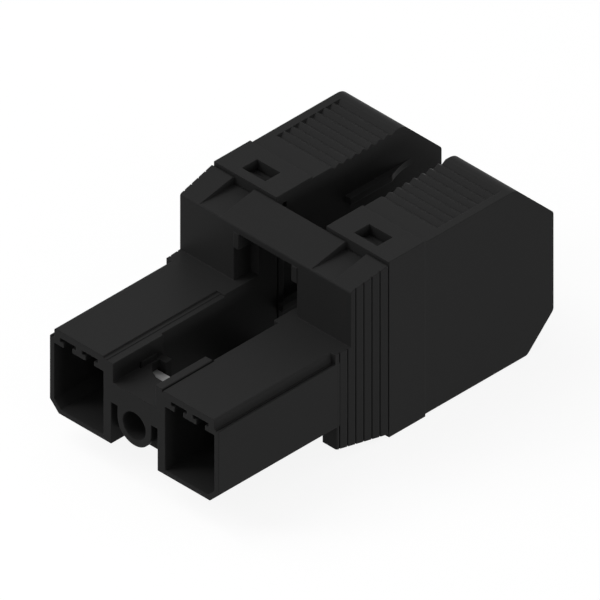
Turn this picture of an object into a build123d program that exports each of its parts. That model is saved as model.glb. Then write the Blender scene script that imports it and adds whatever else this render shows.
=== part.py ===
from build123d import *
from math import atan, cos, radians, sin, sqrt, tan
import os

os.makedirs("parts", exist_ok=True)

# Two-pole plug for a circuit board, with a flange between its two poles.
# X runs across the poles, Y from the mating face to the wire side, Z up.
# The origin is the mouth of the flange bore, on the mating face.

# Pole and flange places
pitch = 10.16               # flange centre to pole centre
bore_height = 4.92          # flange bore above the underside of the tubes
fit = 0.1                   # clearance between pieces that slide together

# Mating tubes
mouth_width = 9.04
mouth_height = 10.06
mouth_chamfer = 1.2         # lower outer corner, inside
outer_wall = 0.8
inner_wall = 1.38
floor_wall = 0.74
roof_wall = 1.05
tube_chamfer = 1.63         # lower outer corner, outside
tube_round = 0.35           # upper outer edge
shoulder_depth = 1.52       # step along the upper outer edge
shoulder_length = 21.35
score_width = 0.16          # fine groove along the step
score_depth = 0.16

# Keyways in the ceiling of a tube
key_offset = 2.0            # keyway centre from the pole centre
key_neck_width = 1.6
key_neck_height = 0.7
key_slot_width = 2.9
key_slot_height = 0.62

# Collar that carries the tubes and the wire covers
root_front = 21.55          # foot and side steps start here
root_round = 0.3
foot_width = 2.7            # below the tube, measured at the collar
foot_drop = 1.93
collar_front = 24.03
collar_length = 6.3
front_plate = 1.3           # collar front to the pole chamber
collar_overhang = 0.17      # front edge of the collar beyond the tube
collar_rise = 8.75          # front edge above the roof of the tubes
rise_angle = 11.2           # flare of the top
drop_angle = 10.4           # flare of the underside
side_angle = 4.2            # flare of the sides
collar_round = 0.35
neck_inset = 0.2            # shadow gap behind the collar
stair_count = 6
stair_pitch = 1.38
stair_first = 22.0
stair_width = 0.2
stair_depth = 0.16
channel_width = 3.9
channel_offset = 0.12       # channel centre outside the pole centre

# Throat between the poles
throat_half = 5.8
throat_height = 5.29
tab_half = 4.84
tab_height = 2.41
tab_rise = 0.1              # tabs in front of the collar front
throat_depth = 3.1
bridge_height = 1.5         # lower bridge left under the throat

# Flange between the tubes
tongue_half = 3.07
bore_radius = 2.1
flange_floor = 4.89         # flange floor above the bore axis
slit_top = 1.68             # slits beside the tongue end here
web_setback = 1.5
flange_length = 4.35        # mating face to nut pocket
floor_edge = 4.82           # front edge of the opening over the nut
floor_length = 9.2
opening_half = 3.37
opening_front_half = 0.85   # straight front of the opening
opening_corner = (2.1, 5.4)  # bend in the slanted side of the opening
opening_side = 6.6          # its straight side starts here
catch_front = 8.0
catch_half = 2.25           # gap between the nut catches
sill_front = 5.2            # raised sill on the tube wall, beside the opening
sill_rear = 7.8
sill_width = 0.61
sill_height = 0.84
sill_gap = 0.35
pad_thickness = 0.36        # guide pads on the inner walls
pad_rise = 0.16
seam_width = 0.24
seam_depth = 0.3
lip_width = 0.82            # upper inner edge of the right tube
lip_depth = 1.5
strip_width = 1.44          # sunk strip along the left tube
strip_depth = 0.26
strip_length = 20.85
strip_step_width = 0.62     # outer part of the strip, a little higher
strip_step_depth = 0.09

# Square flange nut
nut_width = 7.0
nut_thickness = 3.2
thread_radius = 1.65
nut_chamfer = 0.2

# Wire covers
cover_gap = 0.3             # shadow gap between collar and cover
cover_width = 11.39
cover_offset = 0.095        # cover centre outside the pole centre
cover_length = 30.25
cover_top = 18.37
cover_bottom = -8.8
cover_wall = 1.2
roof_thickness = 1.3
back_wall = 3.0
slant_wall = 1.5
top_slant = 6.85
bottom_slant = 4.82
top_round = 2.2
cover_round = 0.9
band_length = 6.65
band_height = 0.31
band_side_depth = 0.1
window_length = 2.8
window_setback = 1.5
window_width = 4.25
rib_count = 8
rib_pitch = 1.487
rib_depth = 0.45
rib_crest = 0.12
rib_first = 10.74           # first valley behind the cover's front
rib_margin = 1.26           # plain strip at the outer edge
rail_height = 12.65
rail_thickness = 1.0
rail_reach = 1.0
rail_start = 12.6
rail_length = 12.2
rail_straight = 7.6
post_width = 0.95           # low upright at the front of the slot wall
post_reach = 0.35
post_top = 16.3
notch_place = 0.9           # small notch in the slot wall, behind the cover's front
notch_size = 0.95
notch_depth = 0.6
ledge_height = 1.98
ledge_thickness = 1.0
ledge_reach = 1.08
ledge_length = 24.0
entry_height = 1.1          # wire entry above the bore axis
entry_radius = 4.1
entry_length = 2.0          # straight bore before the funnel
entry_throat = 3.0
driver_height = 7.3
driver_width = 5.5
driver_gap = 2.2

# Sleeve and tray of the housing inside each cover
sleeve_wall = 1.0
sleeve_length = 7.8
tray_length = 22.0
cage_rail_width = 1.0
cage_rail_offset = 2.2
nose_width = 3.5
nose_height = 0.85
nose_flat = 0.7
nose_length = 2.1

# Contact
bar_play = 0.2              # bar to cage wall, each side
bar_thickness = 1.2
bar_front = 12.0
bar_tail = 3.0              # bar behind the cage
blade_thickness = 0.8
blade_spread = 1.9
blade_height = 6.6
blade_end = 20.0
pinch_spread = 0.75
pinch_place = 9.0
lead_in_spread = 1.3
lead_in_place = 7.2

# Steel spring over the contact
clip_thickness = 0.4
clip_gap = 0.03
clip_end = 19.0
clip_setback = 0.5          # tip of the clip behind the pinch

# Clamp
cage_play = 0.4             # cage to cover wall, each side
cage_wall = 0.8
cage_floor = 1.0
cage_headroom = 4.19        # cage to cover roof
cage_length = 7.0
cage_setback = 5.33         # cage to the end of the tray
cage_round = 0.3
spring_thickness = 0.6
spring_inset = 1.0
spring_run = 7.5
spring_bend = 2.5
spring_turn_angle = 125
spring_gap = 1.33           # tip of the leg above the bar

# Levels and faces that follow from the sizes above
tube_bottom = -bore_height
mouth_bottom = tube_bottom + floor_wall
mouth_top = mouth_bottom + mouth_height
neck_top = mouth_top + key_neck_height
slot_top = neck_top + key_slot_height
tube_top = slot_top + roof_wall
mouth_inner = pitch - mouth_width / 2
mouth_outer = pitch + mouth_width / 2
tube_inner = mouth_inner - inner_wall
tube_outer = mouth_outer + outer_wall
shoulder_level = tube_top - shoulder_depth
root_bottom = tube_bottom - foot_drop
rise = tan(radians(rise_angle))
drop = tan(radians(drop_angle))
flare = tan(radians(side_angle))
collar_rear = collar_front + collar_length
collar_top = tube_top + collar_rise
collar_low = root_bottom - (collar_front - root_front) * drop
collar_half = tube_outer + collar_overhang
collar_rear_half = collar_half + collar_length * flare
collar_rear_low = collar_low - collar_length * drop
collar_rear_top = collar_top + collar_length * rise
root_half = collar_half - (collar_front - root_front) * flare
foot_inner = collar_half - foot_width
slot_half = pitch + cover_offset - cover_width / 2
cover_side = pitch + cover_offset + cover_width / 2
cover_front = collar_rear + cover_gap
cover_rear = cover_front + cover_length
cavity_inner = slot_half + cover_wall
cavity_outer = cover_side - cover_wall
cavity_bottom = cover_bottom + cover_wall
cavity_top = cover_top - roof_thickness
cavity_rear = cover_rear - back_wall
sleeve_inner = cavity_inner + fit
sleeve_outer = cavity_outer - fit
sleeve_bottom = cavity_bottom + fit
sleeve_top = cavity_top - fit
sleeve_rear = collar_rear + sleeve_length
chamber_inner = sleeve_inner + sleeve_wall
chamber_outer = sleeve_outer - sleeve_wall
chamber_bottom = sleeve_bottom + sleeve_wall
chamber_top = sleeve_top - sleeve_wall
chamber_front = collar_front + front_plate
tray_rear = collar_rear + tray_length
cavity_low_slant = bottom_slant - back_wall - cover_wall + slant_wall * sqrt(2)
cavity_high_slant = top_slant - back_wall - roof_thickness + slant_wall * sqrt(2)
channel_center = pitch + channel_offset
window_front = cover_front + window_setback
nose_front = window_front + fit
nose_top = sleeve_top + nose_height
tab_low = tube_top + throat_height
lintel_low = tab_low + tab_height
sill_inner = tube_inner - sill_width
rib_half = (rib_pitch - rib_crest) / 2
rail_front = cover_front + rail_start
bar_bottom = mouth_bottom
bar_top = bar_bottom + bar_thickness
cage_bottom = bar_bottom - cage_floor
cage_top = cavity_top - cage_headroom
cage_width = cover_width - 2 * (cover_wall + cover_offset + cage_play)
cage_front = tray_rear - cage_setback - cage_length
cage_rear = cage_front + cage_length
bar_width = cage_width - 2 * (cage_wall + bar_play)
bar_end = cage_rear + bar_tail
spring_front = cage_front + spring_inset
spring_level = cage_top - cage_wall - spring_thickness / 2
spring_turn = radians(spring_turn_angle)
spring_fall = spring_bend * (1 - cos(spring_turn))
spring_leg = (spring_level - spring_fall - bar_top - spring_gap) / sin(spring_turn)
pinch_angle = atan((blade_spread - pinch_spread) / (bar_front - pinch_place))
clip_offset = (blade_thickness + clip_thickness) / 2 + clip_gap
clip_spread = blade_spread + clip_offset
clip_outer = clip_spread + clip_thickness / 2
clip_bend_shift = clip_offset * tan(pinch_angle / 2)
clip_nip_spread = pinch_spread + clip_offset * cos(pinch_angle) + clip_setback * sin(pinch_angle)
clip_nip_place = pinch_place - clip_offset * sin(pinch_angle) + clip_setback * cos(pinch_angle)
clip_top = bar_top + blade_height + clip_gap + clip_thickness
clip_height = clip_top - bar_top - fit


def box_between(low, high, mode=Mode.ADD):
    # Block between two opposite corners
    size = [b - a for a, b in zip(low, high)]
    middle = [(a + b) / 2 for a, b in zip(low, high)]
    with Locations(tuple(middle)):
        Box(*size, mode=mode)


def across(y):
    # Plane at y, drawn in X and Z; a negative amount runs to the wire side
    return Plane.XZ.offset(-y)


def rectangle_between(low, high, mode=Mode.ADD):
    # Rectangle between two opposite corners of a sketch
    with Locations(((low[0] + high[0]) / 2, (low[1] + high[1]) / 2)):
        Rectangle(high[0] - low[0], high[1] - low[1], mode=mode)


# Front housing: tubes, flange, collar and the sleeves inside the covers.
# The right half is made first and mirrored.
with BuildPart() as front_housing:
    # Tapered collar with a rounded upper front edge
    with BuildSketch(across(collar_front)):
        rectangle_between((0, collar_low), (collar_half, collar_top))
    with BuildSketch(across(collar_rear)):
        rectangle_between((0, collar_rear_low), (collar_rear_half, collar_rear_top))
    loft()
    top_edge = front_housing.edges().filter_by(Axis.X).group_by(Axis.Z)[-2][0]
    fillet(top_edge, collar_round)

    # Root of the tube and the foot below it, flared like the collar
    with BuildSketch(across(root_front)):
        rectangle_between((foot_inner, root_bottom), (root_half, tube_top))
    with BuildSketch(across(collar_front + collar_round)):
        rectangle_between(
            (foot_inner, collar_low - collar_round * drop),
            (collar_half + collar_round * flare, tube_top),
        )
    loft()
    foot_edge = front_housing.edges().filter_by(Axis.Z).group_by(Axis.Y)[0].sort_by(Axis.X)[-1]
    fillet(foot_edge, root_round)
    box_between(
        (mouth_inner, shoulder_length, mouth_bottom + mouth_chamfer),
        (tube_outer, collar_front, tube_top),
    )

    # Steps along the side of the root and the collar
    for step in range(stair_count):
        stair_place = stair_first + step * stair_pitch
        stair_face = collar_half + (stair_place - collar_front) * flare
        box_between(
            (stair_face - stair_depth, stair_place, collar_rear_low),
            (stair_face + stair_depth, stair_place + stair_width, collar_rear_top),
            mode=Mode.SUBTRACT,
        )

    # Mating tube with its chamfer and stepped upper edge
    with BuildSketch(across(0)) as tube_profile:
        with BuildLine():
            Polyline(
                (tube_inner, tube_bottom),
                (tube_outer - tube_chamfer, tube_bottom),
                (tube_outer, tube_bottom + tube_chamfer),
                (tube_outer, shoulder_level),
                (mouth_outer, shoulder_level),
                (mouth_outer, tube_top),
                (tube_inner, tube_top),
                close=True,
            )
        make_face()
        fillet(tube_profile.vertices().group_by(Axis.Y)[-1].sort_by(Axis.X)[-1], tube_round)
    extrude(amount=-(collar_front + collar_round))
    box_between(
        (mouth_outer + (outer_wall - score_width) / 2, 0, shoulder_level - score_depth),
        (mouth_outer + (outer_wall + score_width) / 2, shoulder_length, shoulder_level),
        mode=Mode.SUBTRACT,
    )

    # Neck that leaves a shadow gap before the cover
    box_between(
        (slot_half, collar_rear, collar_rear_low + neck_inset),
        (collar_rear_half - neck_inset, cover_front, collar_rear_top - neck_inset),
    )

    # Sleeve inside the cover, and the tray that carries the clamp
    box_between(
        (sleeve_inner, collar_rear, sleeve_bottom),
        (sleeve_outer, sleeve_rear, sleeve_top),
    )
    box_between(
        (sleeve_inner, collar_rear, sleeve_bottom),
        (sleeve_outer, tray_rear, chamber_bottom),
    )

    # Latch nose that snaps into the cover's window
    with BuildSketch(Plane.YZ.offset(channel_center - nose_width / 2)):
        with BuildLine():
            Polyline(
                (nose_front, sleeve_top),
                (nose_front, nose_top),
                (nose_front + nose_flat, nose_top),
                (nose_front + nose_length, sleeve_top),
                close=True,
            )
        make_face()
    extrude(amount=nose_width)

    # Chamber of the pole, open to the cover behind
    box_between(
        (chamber_inner, chamber_front, chamber_bottom),
        (chamber_outer, sleeve_rear, chamber_top),
        mode=Mode.SUBTRACT,
    )

    # Rails on the tray, under the clamp cage
    for side in (-1, 1):
        rail_center = pitch + side * cage_rail_offset
        box_between(
            (rail_center - cage_rail_width / 2, chamber_front, chamber_bottom),
            (rail_center + cage_rail_width / 2, tray_rear, cage_bottom),
        )

    # Mouth of the tube with two keyways in its ceiling
    with BuildSketch(across(0)) as mouth_profile:
        rectangle_between((mouth_inner, mouth_bottom), (mouth_outer, mouth_top))
        chamfer(mouth_profile.vertices().group_by(Axis.Y)[0].sort_by(Axis.X)[-1], mouth_chamfer)
        for side in (-1, 1):
            key_center = pitch + side * key_offset
            rectangle_between(
                (key_center - key_neck_width / 2, mouth_top),
                (key_center + key_neck_width / 2, neck_top),
            )
            rectangle_between(
                (key_center - key_slot_width / 2, neck_top),
                (key_center + key_slot_width / 2, slot_top),
            )
    extrude(amount=-chamber_front, mode=Mode.SUBTRACT)

    # Channel in the top of the collar, open to the cover
    box_between(
        (channel_center - channel_width / 2, collar_front, collar_top),
        (channel_center + channel_width / 2, cover_front, collar_rear_top + fit),
        mode=Mode.SUBTRACT,
    )

    # Throat between the poles, with a tab on each side below the lintel
    box_between(
        (0, collar_front, tube_top),
        (throat_half, collar_front + throat_depth, tab_low),
        mode=Mode.SUBTRACT,
    )
    box_between(
        (0, collar_front, tab_low),
        (tab_half, collar_front + throat_depth, lintel_low),
        mode=Mode.SUBTRACT,
    )
    box_between(
        (tab_half, collar_front - tab_rise, tab_low),
        (throat_half, collar_front + tab_rise, lintel_low),
    )
    box_between(
        (0, collar_front, collar_low + bridge_height),
        (tube_inner, cover_front, lintel_low),
        mode=Mode.SUBTRACT,
    )

    # Flange floor, sills and the plate behind the tongue
    box_between(
        (0, 0, slit_top),
        (tube_inner, floor_edge, flange_floor),
    )
    box_between(
        (0, web_setback, -tongue_half),
        (tube_inner, flange_length, flange_floor),
    )
    box_between(
        (0, flange_length, tube_bottom),
        (tube_inner, floor_length, flange_floor),
    )
    with BuildSketch(across(0)):
        rectangle_between((0, 0), (tongue_half, slit_top))
        with Locations((0, 0)):
            Circle(tongue_half)
        rectangle_between((-tongue_half, -tongue_half), (0, tongue_half), mode=Mode.SUBTRACT)
    extrude(amount=-web_setback)

    # Pocket of the flange nut, with an opening above and a catch behind
    box_between(
        (0, flange_length, -(nut_width + fit) / 2),
        ((nut_width + fit) / 2, catch_front, (nut_width + fit) / 2),
        mode=Mode.SUBTRACT,
    )
    with BuildSketch(Plane.XY.offset(flange_floor)):
        with BuildLine():
            Polyline(
                (0, floor_edge),
                (opening_front_half, floor_edge),
                opening_corner,
                (opening_half, opening_side),
                (opening_half, catch_front),
                (0, catch_front),
                close=True,
            )
        make_face()
    extrude(amount=-flange_floor, mode=Mode.SUBTRACT)
    box_between(
        (0, opening_side, -catch_half),
        (catch_half, floor_length, flange_floor),
        mode=Mode.SUBTRACT,
    )

    # Guide pad on the inner wall of the tube
    box_between(
        (tube_inner - pad_thickness, 0, flange_floor),
        (tube_inner, floor_length, tube_top),
    )

    # Raised sill on the wall, behind a small gap
    box_between(
        (sill_inner, sill_front, flange_floor),
        (tube_inner, sill_rear, flange_floor + sill_height),
    )
    box_between(
        (sill_inner, sill_front - sill_gap, flange_floor - sill_height),
        (tube_inner, sill_front, flange_floor + sill_height),
        mode=Mode.SUBTRACT,
    )
    mirror(about=Plane.YZ)

    # Flange bore
    with BuildSketch(across(0)):
        Circle(bore_radius)
    extrude(amount=-floor_edge, mode=Mode.SUBTRACT)

    # The right tube has a raised strip over its pad and a rebate behind it
    box_between(
        (tube_inner - pad_thickness, 0, tube_top),
        (tube_inner + lip_width, floor_length, tube_top + pad_rise),
    )
    box_between(
        (tube_inner + lip_width, 0, tube_top - seam_depth),
        (tube_inner + lip_width + seam_width, floor_length + seam_width, tube_top),
        mode=Mode.SUBTRACT,
    )
    box_between(
        (tube_inner, floor_length, tube_top - lip_depth),
        (tube_inner + lip_width, shoulder_length, tube_top),
        mode=Mode.SUBTRACT,
    )

    # The left tube has a sunk strip along its inner edge, in two levels
    box_between(
        (-tube_inner - strip_width, 0, tube_top - strip_depth),
        (-tube_inner + pad_thickness, strip_length, tube_top),
        mode=Mode.SUBTRACT,
    )
    box_between(
        (-tube_inner - strip_width + strip_step_width, 0, tube_top - strip_depth - strip_step_depth),
        (-tube_inner + pad_thickness, strip_length, tube_top),
        mode=Mode.SUBTRACT,
    )

front_housing.part.label = "front_housing"
export_step(front_housing.part, "parts/front_housing.step")


# Threaded square nut behind the flange bore
with BuildPart() as flange_nut:
    with BuildSketch(across(flange_length + fit / 2)):
        Rectangle(nut_width, nut_width)
        Circle(thread_radius, mode=Mode.SUBTRACT)
    extrude(amount=-nut_thickness)
    chamfer(flange_nut.edges().filter_by(GeomType.CIRCLE), nut_chamfer)

flange_nut.part.label = "flange_nut"
export_step(flange_nut.part, "parts/flange_nut.step")


# Right wire cover
with BuildPart() as right_wire_cover:
    # Body with slanted rear corners
    with BuildSketch(Plane.YZ.offset(slot_half)) as cover_profile:
        with BuildLine():
            Polyline(
                (cover_front, cover_bottom),
                (cover_rear - bottom_slant, cover_bottom),
                (cover_rear, cover_bottom + bottom_slant),
                (cover_rear, cover_top - top_slant),
                (cover_rear - top_slant, cover_top),
                (cover_front, cover_top),
                close=True,
            )
        make_face()
        fillet(cover_profile.vertices().group_by(Axis.Y)[-1].sort_by(Axis.X)[-1], top_round)
        fillet(cover_profile.vertices().group_by(Axis.Y)[0].sort_by(Axis.X)[-1], cover_round)
        fillet(cover_profile.vertices().group_by(Axis.X)[-1], cover_round)
    extrude(amount=cover_width)

    # Raised band at the front
    box_between(
        (slot_half, cover_front, cover_bottom - band_height),
        (cover_side + band_side_depth, cover_front + band_length, cover_top + band_height),
    )

    # Cavity, open to the front
    with BuildSketch(Plane.YZ.offset(cavity_inner)):
        with BuildLine():
            Polyline(
                (cover_front, cavity_bottom),
                (cavity_rear - cavity_low_slant, cavity_bottom),
                (cavity_rear, cavity_bottom + cavity_low_slant),
                (cavity_rear, cavity_top - cavity_high_slant),
                (cavity_rear - cavity_high_slant, cavity_top),
                (cover_front, cavity_top),
                close=True,
            )
        make_face()
    extrude(amount=cavity_outer - cavity_inner, mode=Mode.SUBTRACT)

    # Window for the latch nose
    box_between(
        (channel_center - window_width / 2, window_front, cavity_top),
        (channel_center + window_width / 2, window_front + window_length, cover_top + band_height),
        mode=Mode.SUBTRACT,
    )

    # Grip ribs across the top
    with BuildSketch(Plane.YZ.offset(slot_half)):
        for rib in range(rib_count):
            valley = cover_front + rib_first + rib * rib_pitch
            with BuildLine():
                Polyline(
                    (valley - rib_half, cover_top),
                    (valley, cover_top - rib_depth),
                    (valley + rib_half, cover_top),
                    close=True,
                )
            make_face()
    extrude(amount=cover_width - rib_margin, mode=Mode.SUBTRACT)

    # Guide rail and ledge on the wall that faces the slot
    with BuildSketch(Plane.XY.offset(rail_height)):
        with BuildLine():
            Polyline(
                (slot_half, rail_front),
                (slot_half - rail_reach, rail_front),
                (slot_half - rail_reach, rail_front + rail_straight),
            )
            TangentArc(
                (slot_half, rail_front + rail_length),
                (slot_half - rail_reach, rail_front + rail_straight),
                tangent=(0, -1),
            )
            Line((slot_half, rail_front + rail_length), (slot_half, rail_front))
        make_face()
    extrude(amount=-rail_thickness)
    box_between(
        (slot_half - ledge_reach, cover_front, ledge_height - ledge_thickness),
        (slot_half, cover_front + ledge_length, ledge_height),
    )

    # Low upright at the front of that wall, with a small notch behind its top
    box_between(
        (slot_half - post_reach, cover_front, cover_bottom),
        (slot_half, cover_front + post_width, post_top),
    )
    box_between(
        (slot_half, cover_front + notch_place, post_top),
        (slot_half + notch_depth, cover_front + notch_place + notch_size, post_top + notch_size),
        mode=Mode.SUBTRACT,
    )

    # Wire entry with its funnel, and the opening for a screwdriver above it
    with BuildSketch(across(cover_rear)):
        with Locations((pitch, entry_height)):
            Circle(entry_radius)
    extrude(amount=entry_length, mode=Mode.SUBTRACT)
    with BuildSketch(across(cover_rear - entry_length)):
        with Locations((pitch, entry_height)):
            Circle(entry_radius)
    with BuildSketch(across(cavity_rear)):
        with Locations((pitch, entry_height)):
            Circle(entry_throat)
    loft(mode=Mode.SUBTRACT)
    box_between(
        (pitch - driver_width / 2, cavity_rear, driver_height - driver_gap / 2),
        (pitch + driver_width / 2, cover_rear, driver_height + driver_gap / 2),
        mode=Mode.SUBTRACT,
    )

right_wire_cover.part.label = "right_wire_cover"
export_step(right_wire_cover.part, "parts/right_wire_cover.step")

# The left wire cover is its mirror image
with BuildPart() as left_wire_cover:
    mirror(right_wire_cover.part, about=Plane.YZ)

left_wire_cover.part.label = "left_wire_cover"
export_step(left_wire_cover.part, "parts/left_wire_cover.step")


# Contact of one pole: a bar under the clamp and two blades that pinch the pin
with BuildPart() as contact:
    box_between(
        (-bar_width / 2, bar_front, bar_bottom),
        (bar_width / 2, bar_end, bar_top),
    )
    for side in (-1, 1):
        with BuildSketch(Plane.XY.offset(bar_bottom)):
            with BuildLine() as blade_path:
                Polyline(
                    (side * blade_spread, blade_end),
                    (side * blade_spread, bar_front),
                    (side * pinch_spread, pinch_place),
                    (side * lead_in_spread, lead_in_place),
                )
            trace(blade_path.line, blade_thickness)
        extrude(amount=bar_thickness + blade_height)

# Steel clip that keeps the two blades together
with BuildPart() as clip:
    for side in (-1, 1):
        with BuildSketch(Plane.XY.offset(bar_top + fit)):
            with BuildLine() as clip_path:
                Polyline(
                    (side * clip_spread, clip_end),
                    (side * clip_spread, bar_front - clip_bend_shift),
                    (side * clip_nip_spread, clip_nip_place),
                )
            trace(clip_path.line, clip_thickness)
        extrude(amount=clip_height)
    box_between(
        (-clip_outer, bar_front, clip_top - clip_thickness),
        (clip_outer, clip_end, clip_top),
    )

# Clamp cage, a closed steel frame around the bar
with BuildPart() as cage:
    box_between(
        (-cage_width / 2, cage_front, cage_bottom),
        (cage_width / 2, cage_rear, cage_top),
    )
    fillet(cage.edges().filter_by(Axis.Y), cage_round)
    box_between(
        (-cage_width / 2 + cage_wall, cage_front, bar_bottom),
        (cage_width / 2 - cage_wall, cage_rear, cage_top - cage_wall),
        mode=Mode.SUBTRACT,
    )

# Clamp spring, a bent strip whose leg presses the wire on the bar
with BuildPart() as spring:
    with BuildSketch(Plane.YZ.offset(-bar_width / 2)):
        with BuildLine() as spring_path:
            fixed_leg = Line((spring_front, spring_level), (spring_front + spring_run, spring_level))
            loop = JernArc(fixed_leg @ 1, fixed_leg % 1, spring_bend, -spring_turn_angle)
            Line(loop @ 1, loop @ 1 + (loop % 1) * spring_leg)
        trace(spring_path.line, spring_thickness)
    extrude(amount=bar_width)

# The same four pieces serve both poles
pole_pieces = {"contact": contact, "contact_clip": clip, "clamp_cage": cage, "clamp_spring": spring}
for pole_name, pole_place in (("left", -pitch), ("right", pitch)):
    for piece_name, piece in pole_pieces.items():
        with BuildPart() as placed:
            add(Pos(pole_place, 0, 0) * piece.part)
        placed.part.label = f"{pole_name}_{piece_name}"
        export_step(placed.part, f"parts/{pole_name}_{piece_name}.step")
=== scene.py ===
import bpy
from math import cos, radians, sin
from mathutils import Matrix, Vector


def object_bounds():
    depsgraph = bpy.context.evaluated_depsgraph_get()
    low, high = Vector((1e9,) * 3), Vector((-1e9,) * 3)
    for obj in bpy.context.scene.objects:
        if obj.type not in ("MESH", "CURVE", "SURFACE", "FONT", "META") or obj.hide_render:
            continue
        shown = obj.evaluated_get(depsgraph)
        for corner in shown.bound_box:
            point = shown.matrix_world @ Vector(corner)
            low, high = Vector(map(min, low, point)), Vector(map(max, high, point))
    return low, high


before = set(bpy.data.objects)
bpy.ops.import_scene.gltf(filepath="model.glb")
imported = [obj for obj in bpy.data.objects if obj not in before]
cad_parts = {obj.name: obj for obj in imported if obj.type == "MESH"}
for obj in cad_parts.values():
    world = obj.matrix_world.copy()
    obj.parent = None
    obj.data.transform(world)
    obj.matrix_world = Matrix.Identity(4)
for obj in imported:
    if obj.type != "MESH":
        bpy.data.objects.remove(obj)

cadLow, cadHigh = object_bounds()
scene = bpy.context.scene
print("frame loaded,", len(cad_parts), "pieces")


# Camera: looks along the diagonal of the three axes, without perspective
cameraView = {
    "azimuth": 45.0,  # degrees round from the mating face
    "elevation": 35.264,
    "aim": (0.00851, 0.02185, 0.01333),  # point in the middle of the picture
    "width": 0.07776,  # metres across the picture
    "distance": 0.25,
    "clipNear": 0.001,
    "clipFar": 10.0,
}


def makeCamera(look):
    camera = bpy.data.objects.new("viewCamera", bpy.data.cameras.new("viewCamera"))
    scene.collection.objects.link(camera)
    camera.data.type = "ORTHO"
    camera.data.ortho_scale = look["width"]
    camera.data.clip_start = look["clipNear"]
    camera.data.clip_end = look["clipFar"]
    turn = radians(look["azimuth"])
    tilt = radians(look["elevation"])
    back = Vector((sin(turn) * cos(tilt), -cos(turn) * cos(tilt), sin(tilt)))
    camera.location = Vector(look["aim"]) + back * look["distance"]
    camera.rotation_mode = "QUATERNION"
    camera.rotation_quaternion = (-back).to_track_quat("-Z", "Y")
    scene.camera = camera


makeCamera(cameraView)
scene.view_settings.view_transform = "Standard"
print("camera set")


# Wraps a node socket, so that plain sums, differences and products add the Math nodes
class Wire:
    def __init__(self, tree, socket=None):
        self.tree = tree
        self.socket = socket

    def node(self, kind, settings=None, sockets=None, output=0):
        made = self.tree.nodes.new(kind)
        for name, value in (settings or {}).items():
            setattr(made, name, value)
        for name, value in (sockets or {}).items():
            if isinstance(value, Wire):
                self.tree.links.new(value.socket, made.inputs[name])
            else:
                made.inputs[name].default_value = value
        return Wire(self.tree, made.outputs[output])

    def math(self, operation, first, second):
        return self.node("ShaderNodeMath", {"operation": operation}, {0: first, 1: second})

    def __add__(self, other):
        return self.math("ADD", self, other)

    def __radd__(self, other):
        return self.math("ADD", other, self)

    def __sub__(self, other):
        return self.math("SUBTRACT", self, other)

    def __rsub__(self, other):
        return self.math("SUBTRACT", other, self)

    def __mul__(self, other):
        return self.math("MULTIPLY", self, other)

    def __rmul__(self, other):
        return self.math("MULTIPLY", other, self)

    def into(self, shader, name):
        self.tree.links.new(self.socket, shader.inputs[name])


def startMaterial(name, fixed):
    material = bpy.data.materials.new(name)
    material.use_nodes = True
    shader = material.node_tree.nodes["Principled BSDF"]
    for socket, value in fixed.items():
        shader.inputs[socket].default_value = value
    return material, shader, Wire(material.node_tree)


def grey(level):
    return (level, level, level, 1.0)


# Sockets 6 and 7 of the Mix node are its colours, and its output 2 is the mixed one
def mixGreys(factor, dark, light):
    return factor.node("ShaderNodeMix", {"data_type": "RGBA"}, {
        0: factor, 6: grey(dark), 7: grey(light)}, output=2)


def noise(place, size, detail, roughness=0.5):
    return place.node("ShaderNodeTexNoise", sockets={
        "Vector": place, "Scale": 1 / size, "Detail": detail, "Roughness": roughness})


middleTone = 0.5  # what a noise swings round


# Black glass-filled plastic with a fine eroded skin; sizes are in metres
mouldedPlastic = {
    "dark": 0.0265,
    "light": 0.0305,
    "cloudSize": 0.009,  # slow changes of tone
    "cloudDetail": 3.0,
    "cloudShare": 0.6,  # of the tone; the specks have the rest
    "speckSize": 0.00035,  # glass specks
    "speckDetail": 2.0,
    "roughness": 0.46,
    "roughnessSwing": 0.08,
    "grainSize": 0.00016,
    "grainDetail": 3.0,
    "grainRoughness": 0.6,
    "grainDepth": 0.0000025,
    "specular": 0.035,
    "edgeRadius": 0.00016,  # corners that the mould leaves round
    "edgeSamples": 6,
}


def plasticMaterial(name, look):
    material, shader, wire = startMaterial(name, {"Specular IOR Level": look["specular"]})
    place = wire.node("ShaderNodeTexCoord", output="Object")
    clouds = noise(place, look["cloudSize"], look["cloudDetail"])
    specks = noise(place, look["speckSize"], look["speckDetail"])
    tone = clouds * look["cloudShare"] + specks * (1 - look["cloudShare"])
    mixGreys(tone, look["dark"], look["light"]).into(shader, "Base Color")
    roughness = look["roughness"] + (tone - middleTone) * look["roughnessSwing"]
    roughness.into(shader, "Roughness")
    grain = noise(place, look["grainSize"], look["grainDetail"], look["grainRoughness"])
    rounded = wire.node("ShaderNodeBevel", {"samples": look["edgeSamples"]}, {"Radius": look["edgeRadius"]})
    skin = wire.node("ShaderNodeBump", sockets={
        "Height": grain, "Distance": look["grainDepth"], "Normal": rounded})
    skin.into(shader, "Normal")
    return material


# Turned, stamped or plated metal with fine lines from its tool; sizes are in metres
turnedSteel = {
    "dark": 0.3,
    "light": 0.6,
    "lineSize": 0.00022,
    "lineDirection": (0.08, 1.0, 0.08),  # small along the lines, so that they stretch
    "lineDetail": 3.0,
    "lineShare": 0.5,  # of the tone; the clouds have the rest
    "lineDepth": 0.000004,
    "cloudSize": 0.00264,
    "cloudDetail": 2.0,
    "roughness": 0.45,
    "roughnessSwing": 0.16,
}
stampedSteel = dict(turnedSteel, dark=0.42, light=0.6, roughness=0.34, lineDirection=(1.0, 0.06, 1.0))
tinPlate = dict(turnedSteel, dark=0.55, light=0.72, roughness=0.38, lineDirection=(1.0, 0.2, 1.0))


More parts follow.
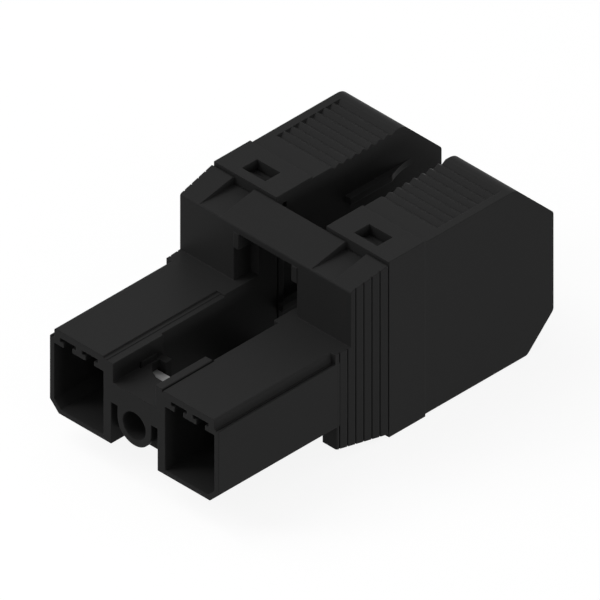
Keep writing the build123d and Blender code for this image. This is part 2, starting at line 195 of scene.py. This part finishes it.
def metalMaterial(name, look):
    material, shader, wire = startMaterial(name, {"Metallic": 1.0})
    place = wire.node("ShaderNodeTexCoord", output="Object")
    stretched = wire.node("ShaderNodeVectorMath", {"operation": "MULTIPLY"}, {
        0: place, 1: look["lineDirection"]})
    lines = noise(stretched, look["lineSize"], look["lineDetail"])
    clouds = noise(place, look["cloudSize"], look["cloudDetail"])
    tone = lines * look["lineShare"] + clouds * (1 - look["lineShare"])
    mixGreys(tone, look["dark"], look["light"]).into(shader, "Base Color")
    roughness = look["roughness"] + (clouds - middleTone) * look["roughnessSwing"]
    roughness.into(shader, "Roughness")
    skin = wire.node("ShaderNodeBump", sockets={"Height": lines, "Distance": look["lineDepth"]})
    skin.into(shader, "Normal")
    return material


blackMoulding = plasticMaterial("blackMoulding", mouldedPlastic)
finishes = {
    "front_housing": blackMoulding,
    "wire_cover": blackMoulding,
    "flange_nut": metalMaterial("turnedSteel", turnedSteel),
    "contact": metalMaterial("tinPlate", tinPlate),
    "contact_clip": metalMaterial("springStrip", stampedSteel),
    "clamp_cage": metalMaterial("stampedSteel", stampedSteel),
    "clamp_spring": metalMaterial("bentSpring", stampedSteel),
}


# Rounding that presses and lathes leave on the metal's edges
metalEdges = {
    "weld": 0.000002,  # joins the corners that the faces don't share yet
    "width": 0.00005,
    "segments": 2,
    "angle": 35.0,  # degrees between faces, from which an edge is rounded
}


def roundEdges(node, look):
    weld = node.modifiers.new("weld", "WELD")
    weld.merge_threshold = look["weld"]
    bevel = node.modifiers.new("edgeRound", "BEVEL")
    bevel.width = look["width"]
    bevel.segments = look["segments"]
    bevel.limit_method = "ANGLE"
    bevel.angle_limit = radians(look["angle"])
    bevel.harden_normals = True


for nodeName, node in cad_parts.items():
    finish = finishes[nodeName.removeprefix("left_").removeprefix("right_")]
    node.data.materials.clear()
    node.data.materials.append(finish)
    if finish != blackMoulding:
        roundEdges(node, metalEdges)
print("materials on", len(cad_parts), "pieces")


# Pale floor that the camera sees as white, with the object's shadow on it
studio = {
    "floorSize": 3.0,
    "floorDrop": 0.00002,  # below the lowest face, so that the two never coincide
    "floorColour": 0.2,
    "floorRoughness": 0.9,
    "floorGlow": 0.885,  # with the lit colour it makes white
    "sky": 0.27,  # light from all round, where 1 would be white
}
lamps = {
    "key": {"power": 1.25, "size": 0.45, "place": (-0.28, -0.14, 0.58)},
    "side": {"power": 1.5, "size": 0.3, "place": (0.7, 0.02, 0.06)},
    "front": {"power": 0.4, "size": 0.4, "place": (-0.05, -0.7, 0.05)},
    "edge": {"power": 0.75, "size": 0.22, "place": (-0.4, -0.42, 0.4)},  # catches the top front edges
}


# 1 for what the camera sees, also in a reflection, and 0 for light on its way to a surface
def seenOrMirrored(wire):
    camera = wire.node("ShaderNodeLightPath", output="Is Camera Ray")
    glossy = wire.node("ShaderNodeLightPath", output="Is Glossy Ray")
    through = wire.node("ShaderNodeLightPath", output="Is Transmission Ray")
    return wire.node("ShaderNodeClamp", sockets={0: camera + glossy + through})


def makeFloor(look):
    half = look["floorSize"] / 2
    mesh = bpy.data.meshes.new("floor")
    corners = [(-half, -half, 0), (half, -half, 0), (half, half, 0), (-half, half, 0)]
    mesh.from_pydata(corners, [], [(0, 1, 2, 3)])
    floor = bpy.data.objects.new("floor", mesh)
    scene.collection.objects.link(floor)
    floor.location = (0, 0, cadLow.z - look["floorDrop"])
    material, shader, wire = startMaterial("paleFloor", {
        "Base Color": grey(look["floorColour"]), "Roughness": look["floorRoughness"],
        "Specular IOR Level": 0.0, "Emission Strength": 1.0})
    mixGreys(seenOrMirrored(wire), 0.0, look["floorGlow"]).into(shader, "Emission Color")
    floor.data.materials.append(material)


def makeSky(look):
    world = bpy.data.worlds.new("studio")
    world.use_nodes = True
    scene.world = world
    tree = world.node_tree
    background = tree.nodes["Background"]
    background.inputs["Color"].default_value = grey(1.0)
    strength = look["sky"] + seenOrMirrored(Wire(tree)) * (1 - look["sky"])
    strength.into(background, "Strength")


def makeLamp(name, look):
    lamp = bpy.data.lights.new(name + "Lamp", "AREA")
    lamp.energy = look["power"]
    lamp.size = look["size"]
    holder = bpy.data.objects.new(name + "Lamp", lamp)
    scene.collection.objects.link(holder)
    holder.location = look["place"]
    aim = Vector(cameraView["aim"]) - Vector(look["place"])
    holder.rotation_mode = "QUATERNION"
    holder.rotation_quaternion = aim.to_track_quat("-Z", "Y")


makeFloor(studio)
makeSky(studio)
for lampName, lampLook in lamps.items():
    makeLamp(lampName, lampLook)
print("floor and light set")
